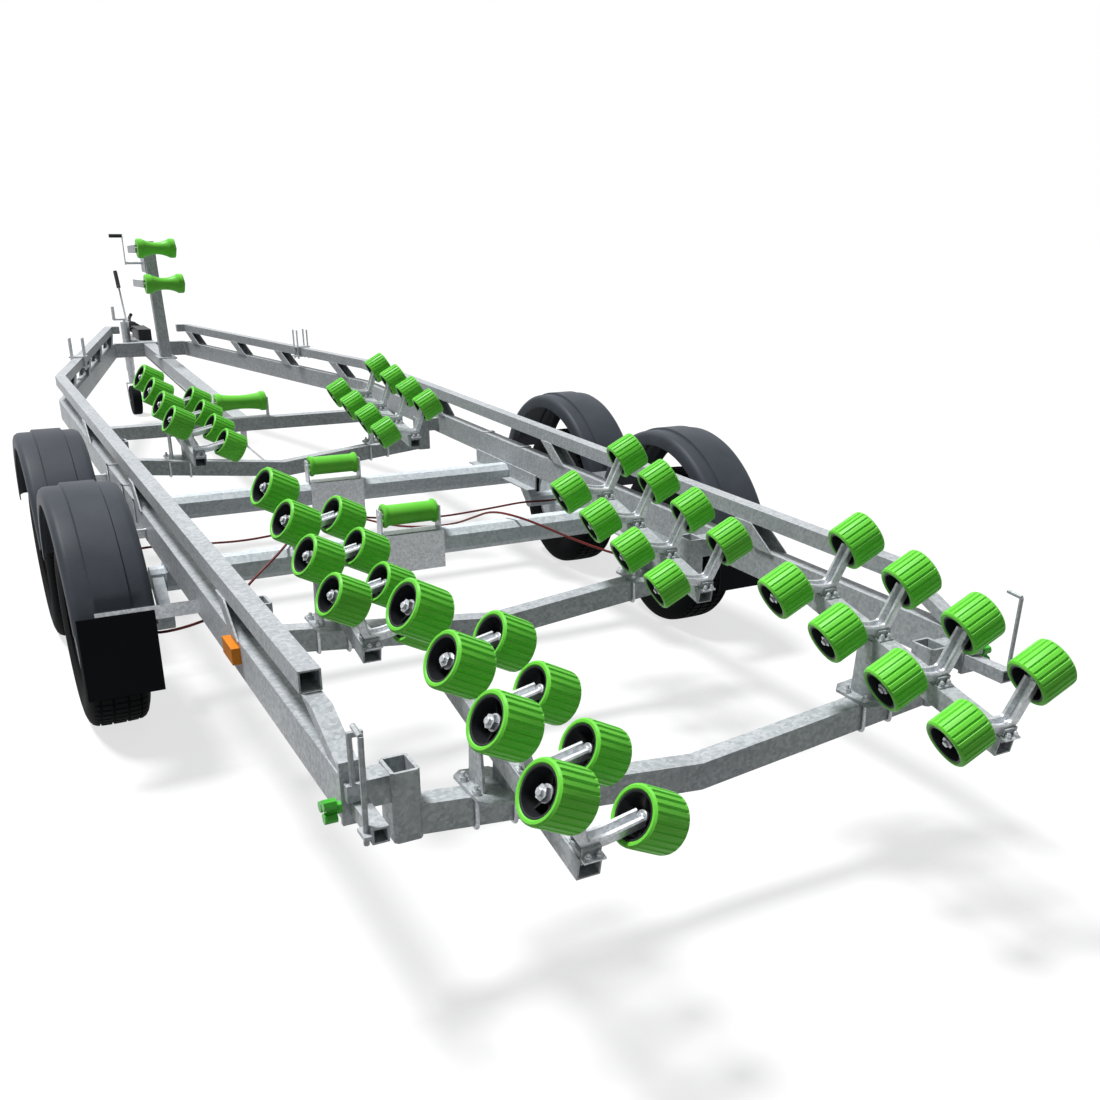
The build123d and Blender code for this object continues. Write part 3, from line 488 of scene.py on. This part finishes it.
# Wobble rollers: four leaning pairs on each sloping tube
# tube x, rear end y and z, tilt in degrees, spacing of the pairs
roller_rows = {
    "rear": (534, -425, 488, 12.2, 221),
    "middle": (533, 799, 482, 13.2, 216),
    "front": (487, 3205, 537, 7.4, 228),
}
pairs_on_tube, first_pair, tube_past_pairs = 4, 24, 64
outer_seat, inner_seat = (70, 168), (-135, 52)
pair_lean = atan2(outer_seat[1] - inner_seat[1], outer_seat[0] - inner_seat[0])


def tube_place(row):
    """The rear end of a row's right tube, with the tube's tilt."""
    x, y, z, tilt, spacing = roller_rows[row]
    return Matrix.Translation((x, y, z)) @ Matrix.Rotation(radians(tilt), 4, "X")


def pair_place(row, station):
    """The middle of a row's right tube at one of its pairs, with the tube's tilt."""
    spacing = roller_rows[row][4]
    return tube_place(row) @ Matrix.Translation((0, first_pair + station * spacing, 0))


def roller_places(row):
    """Each roller's middle, its X axis pointing to the end with the nut, and each at an angle of its own."""
    places = []
    for station in range(pairs_on_tube):
        for (px, pz), turn in ((outer_seat, Matrix()), (inner_seat, half_turn)):
            seat = Matrix.Translation((px, 0, pz)) @ Matrix.Rotation(-pair_lean, 4, "Y")
            spin = Matrix.Rotation(0.7 * station + px, 4, "X")
            places.append(pair_place(row, station) @ seat @ turn @ spin)
    # The left ones are turned, not mirrored
    return places + [flip @ m @ flip @ half_turn for m in places]


def rib_sector(section, ribs, depth, deep_from, stations):
    """One rib of a ribbed ring: the section at a few angles, drawn in at the groove."""
    points, faces = [], []
    count = len(section)
    for share, drop in stations:
        angle = 2 * pi / ribs * share
        for a, r in section:
            radius = r - depth * drop if r > deep_from else r
            points.append(Vector((a, radius * cos(angle), radius * sin(angle))) / 1000)
    for s in range(len(stations) - 1):
        faces += between_rings(s * count, (s + 1) * count, count)
    mesh = bpy.data.meshes.new("sector")
    mesh.from_pydata(points, [], faces)
    return mesh


roller_ribs = 24
roller_section = [(-48, 51.5), (-45.5, 49), (45.5, 49), (48, 51.5), (48, 57), (44, 61), (39, 62), (-39, 62),
                  (-44, 61), (-48, 57)]
roller_stations = [(-0.5, 1), (-0.38, 1), (-0.26, 0), (0.26, 0), (0.38, 1), (0.5, 1)]
roller_mesh = grown(rib_sector(roller_section, roller_ribs, 3.4, 61.5, roller_stations), copies_round_axle,
                    Count=roller_ribs, Finish=roller_green)
round_off(roller_mesh, 25)

# Black liner and hub with six spokes
hub = Shape(in_place=False)
hub.turned([(-45, 44.5), (45, 44.5), (46, 46), (46, 48.9), (-46, 48.9), (-46, 46)], 32)
hub.turned([(-24, 8), (26, 8), (26, 13), (23, 16), (-21, 16), (-24, 13)], 16)
for spoke in range(6):
    hub.box((-17, 14, -2.2), (17, 45, 2.2), Matrix.Rotation(pi / 3 * spoke, 4, "X"))
hub_mesh = hub.mesh("roller_hub")
round_off(hub_mesh)

sqrt3 = 3 ** 0.5


def hexagon(width):
    return [(width / sqrt3 * cos(pi / 3 * i), width / sqrt3 * sin(pi / 3 * i)) for i in range(6)]


def nut_shape(shape, start, width, thick, thread, place=None):
    """A washer, a hexagon nut and the end of its thread, drawn out along X."""
    washer, washer_thick = width * 0.66, 2
    nut_start = start + washer_thick
    shape.turned([(start, 2), (nut_start, 2), (nut_start, washer), (start, washer)], 16, place)
    shape.prism(hexagon(width), nut_start, nut_start + thick, place)
    end = nut_start + thick + thread * 0.9
    shape.turned([(start, 0), (end, 0), (end, thread - 1), (end - 1, thread), (start, thread)], 10, place)
    return shape


roller_nut_mesh = nut_shape(Shape(in_place=False), 26, 27, 11, 8).mesh("roller_nut")
round_off(roller_nut_mesh, 30)

for row in roller_rows:
    rollers = copies(roller_mesh, roller_places(row), roller_green)
    finish_piece(f"{row}_ribbed_rollers", rollers, "frame", "green_roller", (f"{row}_rollers",), 25)
all_places = [m for row in roller_rows for m in roller_places(row)]
finish_piece("roller_spoked_hubs", copies(hub_mesh, all_places, hub_black), "frame", "black_plastic",
             ("roller_hubs",))
finish_piece("roller_nuts", copies(roller_nut_mesh, all_places, bright_zinc), "frame", "bright_zinc", (), 30)


# Keel and bow rollers, each turned from one outline, with a round bore and a dished face at each end
def waisted(length, radius, waist, shoulder):
    """The outline of a concave roller with a collar at each end, as (along, radius)."""
    half, bore, steps = length / 2, 9.2, 10
    outer = [(-half, radius - 5), (-half + 5, radius), (-half + shoulder - 8, radius),
             (-half + shoulder - 5, radius - 4), (-half + shoulder - 2, radius - 4)]
    for i in range(steps + 1):
        a = -half + shoulder + (2 * half - 2 * shoulder) * i / steps
        outer.append((a, waist + (radius - 6 - waist) * (2 * i / steps - 1) ** 2))
    outer += [(-a, r) for a, r in reversed(outer[:5])]
    face = [(half, 26), (half - 8, 22), (half - 8, bore)]
    return outer + face + [(-a, r) for a, r in reversed(face)]


# length, radius, waist, shoulder
waisted_rollers = {
    "front_keel_roller": (266, 52, 37, 34),
    "middle_keel_roller": (206, 44, 38, 20),
    "rear_keel_roller": (206, 44, 38, 20),
    "upper_bow_roller": (240, 62, 38, 44),
    "lower_bow_roller": (240, 62, 38, 44),
}
for node, sizes in waisted_rollers.items():
    low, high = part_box(node)
    middle = (low + high) / 2
    shape = Shape(in_place=False).turned(waisted(*sizes)[::-1], 48, Matrix.Translation(middle * 1000))
    finish_piece(node + "_turned", shape.mesh(node), node, "green_roller", (node,), 30)


# Wheels: tyre with tread blocks, pressed rim with slots, nuts and hub, brake drum behind
axle_y = {"front": 2788, "rear": 1850}
wheel_x, wheel_z = 1089, 310
tread_blocks = 64
tyre_half = [(17, 309.8), (18, 300), (25, 300), (26, 309.6), (54, 308.5), (55, 299), (61, 299), (62, 307.5),
             (68, 306), (78, 301), (86, 290), (92, 272), (95, 250), (94, 232), (88, 205), (83, 190),
             (75, 190)]
tyre_section = [(-a, r) for a, r in reversed(tyre_half)] + tyre_half + [(75, 178.5), (-75, 178.5)]
tyre_stations = [(-0.5, 0.7), (-0.4, 0.7), (-0.34, 0), (0.34, 0), (0.4, 0.7), (0.5, 0.7)]
tyre_mesh = grown(rib_sector(tyre_section[::-1], tread_blocks, 5, 303, tyre_stations), copies_round_axle,
                  Count=tread_blocks, Finish=tyre_rubber)
round_off(tyre_mesh, 32)

face_parts, slot_inner, slot_outer = 5, 104, 128
nut_circle = 62
rim_disc = [(33, 54), (40, 54), (42, 70), (52, 92), (52, slot_inner), (40, slot_outer), (30, 150), (24, 150),
            (34, slot_outer), (45, slot_inner), (45, 92), (35, 70)]


def wheel_face():
    """One fifth of the wheel disc, with two slots near the rim and a nut between them."""
    shape = Shape(in_place=False)
    section = rim_disc[::-1]
    count = len(section)
    steps = 15
    slot_steps = ((1, 4), (11, 14))
    points, faces = [], []
    for s in range(steps + 1):
        angle = 2 * pi / face_parts * (s / steps - 0.5)
        points += [(a, r * cos(angle), r * sin(angle)) for a, r in section]
    for s in range(steps):
        in_slot = any(first <= s < last for first, last in slot_steps)
        for i, quad in enumerate(between_rings(s * count, (s + 1) * count, count)):
            ends = section[i][1], section[(i + 1) % count][1]
            if not (in_slot and min(ends) >= slot_inner and max(ends) <= slot_outer):
                faces.append(quad)
    inner_row = [k for k, (a, r) in enumerate(section) if r == slot_inner]
    outer_row = [k for k, (a, r) in enumerate(section) if r == slot_outer]
    for first, last in slot_steps:
        for low, high in (inner_row, outer_row):
            for s in range(first, last):
                here, there = s * count, (s + 1) * count
                faces.append((here + low, here + high, there + high, there + low))
        for s in (first, last):
            faces.append([s * count + k for k in inner_row] + [s * count + k for k in reversed(outer_row)])
    shape.add(points, faces)
    shape.prism([(y + nut_circle, z) for y, z in hexagon(19)], 39, 55)
    shape.turned([(55, 0), (58, 0), (55, 8)], 8, Matrix.Translation((0, nut_circle, 0)))
    return shape.mesh("wheel_face")


face_mesh = grown(wheel_face(), copies_round_axle, Count=face_parts, Finish=rim_steel)
rim = Shape(in_place=False)
rim.turned([(-76, 178), (-76, 166), (-70, 163), (-52, 166), (-40, 152), (30, 150), (46, 162), (68, 164),
            (74, 166), (75, 178), (69, 178), (64, 170), (46, 168), (30, 157), (-40, 158), (-52, 172),
            (-66, 170), (-70, 178)], 60)
rim.turned([(36, 26), (66, 26), (70, 22), (71, 0), (36, 0)], 32)
rim.turned([(30, 0), (44, 0), (44, 52), (38, 56), (30, 56)], 40)
rim.rod((30, 140, 0), (64, 146, 0), 5, 8)
rim_mesh = rim.mesh("rim")
drum = Shape(in_place=False)
drum.turned([(-90, 22), (-89, 100), (-86, 110), (-60, 112), (-40, 112), (-24, 104), (-18, 92), (-18, 84),
             (30, 78), (32, 22)], 48)
for fin in (-76, -66, -56):
    drum.turned([(fin - 2, 108), (fin + 2, 108), (fin + 2, 114.5), (fin - 2, 114.5)][::-1], 48)
drum_mesh = drum.mesh("drum")

for end, y in axle_y.items():
    for side_name, side in sides.items():
        name = f"{end}_{side_name}"
        body = name + "_wheel"
        place = Matrix.Translation((side * wheel_x, y, wheel_z))
        if side < 0:
            place = place @ half_turn
        for kind, model, material, slot_name, replaced, sharp in (
                ("_treaded_tyre", tyre_mesh, tyre_rubber, "tyre_rubber", (name + "_tyre",), 32),
                ("_pressed_rim", rim_mesh, rim_steel, "wheel_steel", (body,), 35),
                ("_wheel_face", face_mesh, rim_steel, "wheel_steel", (), 35),
                ("_brake_drum", drum_mesh, drum_steel, "wheel_steel", (), 35)):
            finish_piece(name + kind, copies(model, [place], material), body, slot_name, replaced, sharp)

# Mudguards: one moulding with a raised middle band, rounded shoulders and deep side walls
guard_z, guard_radius, guard_half, guard_low, guard_thick = 285, 500, 112.5, -62, 4
guard_places = [axle_y["front"] + 20, axle_y["rear"] - 20]
guard_start = radians(21)
guard_steps, flat_end_steps = 56, 4


def guard_outline(raised):
    """The guard's outer line across its width, as (x from the middle, height off the radius)."""
    lift = 0 if raised else -8
    right = [(46, lift), (48, lift), (52, -8), (90, -8), (98, -9.5), (108, -16), (guard_half, -26),
             (guard_half, guard_low)]
    return [(-a, h) for a, h in reversed(right)] + right


def add_guard(shape, y, side):
    """The guard over one wheel: its outline, with an inner skin, carried over an arc."""
    points, faces = [], []
    for step in range(guard_steps + 1):
        angle = guard_start + (pi - 2 * guard_start) * step / guard_steps
        outline = guard_outline(flat_end_steps <= step <= guard_steps - flat_end_steps)
        ring = list(outline)
        for a, h in reversed(outline):
            inner = a * (1 - guard_thick / guard_half) if abs(a) > 95 else a
            ring.append((inner, h if h == guard_low else h - guard_thick))
        for a, h in ring:
            radius = guard_radius + h
            points.append((side * (wheel_x + a), y + radius * cos(angle), guard_z + radius * sin(angle)))
    count, half = len(ring), len(outline)
    for s in range(guard_steps):
        faces += between_rings(s * count, (s + 1) * count, count)
    for first in (0, guard_steps * count):
        for i in range(half - 1):
            faces.append((first + i, first + i + 1, first + count - 2 - i, first + count - 1 - i))
    shape.add(points, faces)


for side_name, side in sides.items():
    guards = Shape()
    for y in guard_places:
        add_guard(guards, y, side)
    guards_mesh = guards.mesh("guards")
    guards_mesh.materials.append(guard_charcoal)
    finish_piece(side_name + "_moulded_guards", guards_mesh, "frame", "black_plastic",
                 (side_name + "_mudguards",), 50)

# Pressed arms under the rollers: a bar with a deep groove, bent over the tube
arm_ends = (Vector((-112.4, 0, 64.8)), Vector((47.4, 0, 155.2)))
arm_path = [arm_ends[0], Vector((-30, 0, 45)), Vector((12, 0, 45)), arm_ends[1]]
arm_section = [(-18.8, -9), (18.8, -9), (18.8, 8), (15.5, 11.5), (9, 11.5), (3.5, -1), (-3.5, -1), (-9, 11.5),
               (-15.5, 11.5), (-18.8, 8)]


def rounded_path(points, radius, steps):
    """A path of points with each corner replaced by a short curve."""
    path = [points[0]]
    for before, corner, after in zip(points, points[1:], points[2:]):
        back, ahead = (before - corner), (after - corner)
        reach = min(radius, back.length * 0.45, ahead.length * 0.45)
        start, end = corner + back.normalized() * reach, corner + ahead.normalized() * reach
        for i in range(steps + 1):
            t = i / steps
            path.append(start * (1 - t) ** 2 + corner * 2 * t * (1 - t) + end * t ** 2)
    return path + [points[-1]]


def drawn_along(shape, path, section):
    """A flat section drawn along a path in the XZ plane; its first number is along Y."""
    count = len(section)
    points = []
    for i, point in enumerate(path):
        before, after = path[max(i - 1, 0)], path[min(i + 1, len(path) - 1)]
        run = (after - before).normalized()
        up = Vector((-run.z, 0, run.x))
        points += [point + Vector((0, a, 0)) + up * b for a, b in section]
    faces = [tuple(range(count)), tuple(reversed(range((len(path) - 1) * count, len(path) * count)))]
    for s in range(len(path) - 1):
        faces += [(b, a, d, c) for a, b, c, d in between_rings(s * count, (s + 1) * count, count)]
    return shape.add(points, faces)


# Each arm ends in two pins with a collar, one for each roller
arm = drawn_along(Shape(in_place=False), rounded_path(arm_path, 58, 8), arm_section)
for end, sign in ((arm_ends[1], 1), (arm_ends[0], -1)):
    lean = Vector((cos(pair_lean), 0, sin(pair_lean))) * sign
    arm.rod(end - lean * 4, end + lean * 46, 8, 14)
    arm.rod(end + lean * 0.5, end + lean * 4.5, 15, 16)
arm_mesh = arm.mesh("arm")
round_off(arm_mesh, 35)

# Clamp plates and bolts that hold each arm on its tube
seat = Shape(in_place=False)
for y in (-31, 31):
    seat.box((-24, y - 9, 25), (22, y + 9, 29))
    for x in (-12, 11):
        nut_shape(seat, 29, 12, 6, 4, Matrix.Translation((x, y, 0)) @ upward)
seat_mesh = seat.mesh("seat")
round_off(seat_mesh, 30)

pair_places = [pair_place(row, station) for row in roller_rows for station in range(pairs_on_tube)]
arms = mirrored_copies(arm_mesh, pair_places, bright_zinc)
finish_piece("grooved_roller_arms", arms, "frame", "bright_zinc", ("roller_arms",), 35)
seats = mirrored_copies(seat_mesh, pair_places, bright_zinc)
finish_piece("arm_clamp_bolts", seats, "frame", "bright_zinc", (), 30)

# U-bolts that clamp the sloping tubes' plates to the V beams, with a nut and washer on each leg
beam_rears = {"rear": 0, "middle": 1166, "front": 3753}
beam_high, beam_deep, beam_middle_top, beam_slope = 70, 60, 382, 0.107
bolt_lift, bolt_rise, bolt_apart, bolt_clear, bolt_radius, bolt_bend = 9, 20, 45, 6, 5, 10
bolt_paths, bolt_nuts = [], Shape()
for row, beam_y in beam_rears.items():
    tube_x = roller_rows[row][0]
    for side in (-1, 1):
        for shift in (-bolt_apart, bolt_apart):
            x = side * (tube_x + shift)
            top = beam_middle_top + beam_slope * abs(x)
            near, far = beam_y - bolt_clear, beam_y + beam_deep + bolt_clear
            low, high = top - beam_high - bolt_clear, top + bolt_lift + bolt_rise
            bolt_paths.append([(x, near, high), (x, near, low), (x, far, low), (x, far, high)])
            for y in (near, far):
                place = Matrix.Translation((x, y, top + bolt_lift - 0.5)) @ upward
                nut_shape(bolt_nuts, 0, 17, 8, bolt_radius, place)
u_bolts = bent_bar(bolt_paths, bolt_radius, bolt_bend, bright_zinc)
finish_piece("beam_u_bolts", u_bolts, "frame", "bright_zinc", (), 35)
finish_piece("beam_u_bolt_nuts", bolt_nuts.mesh("bolt_nuts"), "frame", "bright_zinc", (), 30)

# Flat straps over the outer upper edge of the lower rails
rail_low, rail_high, rail_outer = 465, 565, 864
strap_half, strap_thick, strap_below, strap_over = 15, 4, 12, 50
rail_straps = Shape()
for side in (-1, 1):
    edge, outer = side * rail_outer, side * (rail_outer + strap_thick)
    inner = side * (rail_outer - strap_over)
    for y in (2483, 2754, 3158):
        for from_x, bottom in ((edge, rail_low - strap_below), (inner, rail_high)):
            rail_straps.box((min(from_x, outer), y - strap_half, bottom),
                            (max(from_x, outer), y + strap_half, rail_high + strap_thick))
finish_piece("rail_flat_straps", rail_straps.mesh("rail_straps"), "frame", "bright_zinc", (), 30)

# Sloping tubes with their arm seats, each tube carried by a clamp plate with two cheeks on a V beam
tube_half, tube_wall = 25, 4
seat_half, seat_wide, seat_top = 19, 22, 36.7
ear_out, ear_wide, ear_low, ear_high = 25, 20, 11, 46.7
clamp_half_wide, clamp_overhang, clamp_thick, clamp_corner = 56, 59, 8, 22
cheek_half, cheek_foot, cheek_lift, cheek_in = 3, 10, 4, 4


def open_tube(shape, half, wall, end, place):
    """A square tube along Y with open ends."""
    corners = [(-1, -1), (1, -1), (1, 1), (-1, 1)]
    points = [(a * r, y, b * r) for y in (0, end) for r in (half, half - wall) for a, b in corners]
    faces = []
    for i in range(4):
        j = (i + 1) % 4
        faces += [(i, j, 8 + j, 8 + i), (4 + j, 4 + i, 12 + i, 12 + j), (j, i, 4 + i, 4 + j),
                  (8 + i, 8 + j, 12 + j, 12 + i)]
    shape.add(points, faces, place)


def clamp_outline():
    """The clamp plate seen from above, with its corners cut off, as (y, -x)."""
    wide, deep, cut = clamp_half_wide, beam_deep / 2 + clamp_overhang, clamp_corner
    return [(-deep, -wide + cut), (-deep + cut, -wide), (deep - cut, -wide), (deep, -wide + cut),
            (deep, wide - cut), (deep - cut, wide), (-deep + cut, wide), (-deep, wide - cut)]


for row, beam_y in beam_rears.items():
    tube_x, tube_y, tube_z, tilt, spacing = roller_rows[row]
    tubes = Shape()
    middle_y = beam_y + beam_deep / 2
    top = beam_middle_top + beam_slope * tube_x
    rise = tube_z + (middle_y - tube_y) * tan(radians(tilt)) - top + 12
    cheek = [(beam_y - cheek_foot, top + cheek_lift), (beam_y + beam_deep + cheek_foot, top + cheek_lift),
             (beam_y + beam_deep - cheek_in, top + rise), (beam_y + cheek_in, top + rise)]
    for mirror in (Matrix(), flip):
        open_tube(tubes, tube_half, tube_wall, tube_past_pairs + (pairs_on_tube - 1) * spacing,
                  mirror @ tube_place(row))
        for station in range(pairs_on_tube):
            place = mirror @ pair_place(row, station)
            tubes.box((-seat_wide, -seat_half, tube_half - 1), (seat_wide, seat_half, seat_top), place)
            for low, high in ((-ear_out, -seat_half), (seat_half, ear_out)):
                tubes.box((-ear_wide, low, ear_low), (ear_wide, high, ear_high), place)
        for cheek_x in (tube_x - tube_half - cheek_half, tube_x + tube_half + cheek_half):
            tubes.prism(cheek, cheek_x - cheek_half, cheek_x + cheek_half, mirror)
        slope = Matrix.Rotation(-atan2(beam_slope, 1), 4, "Y")
        plate = mirror @ Matrix.Translation((tube_x, middle_y, top + 0.3)) @ slope @ upward
        tubes.prism(clamp_outline(), 0, clamp_thick, plate)
    finish_piece(f"{row}_tubes_and_seats", tubes.mesh("tubes"), "frame", "galvanised", (f"{row}_bunks",), 30)

# V beams whose drop brackets are drawn in to the real width, with the pad out to the rail kept
# distance of an edge from the middle in the solid, and here
bracket_edges = [(692, 700), (699.2, 707.2), (700, 708), (756.3, 735.3), (775, 754), (775.8, 754.8),
                 (783, 762)]
edge_found_within = 0.3
for name in ("rear_v_beam", "middle_v_beam", "front_v_beam"):
    node = cad_nodes[name]
    mesh = node.data.copy()
    mesh.transform(node.matrix_world)
    for point in mesh.vertices:
        reach = abs(point.co.x) * 1000
        for old_edge, new_edge in bracket_edges:
            if abs(reach - old_edge) < edge_found_within:
                point.co.x *= new_edge / reach
    shell = bmesh.new()
    shell.from_mesh(mesh)
    bmesh.ops.remove_doubles(shell, verts=shell.verts, dist=join_within)
    shell.to_mesh(mesh)
    shell.free()
    finish_piece(name + "_narrow_brackets", mesh, "frame", "galvanised", (name,), 8)
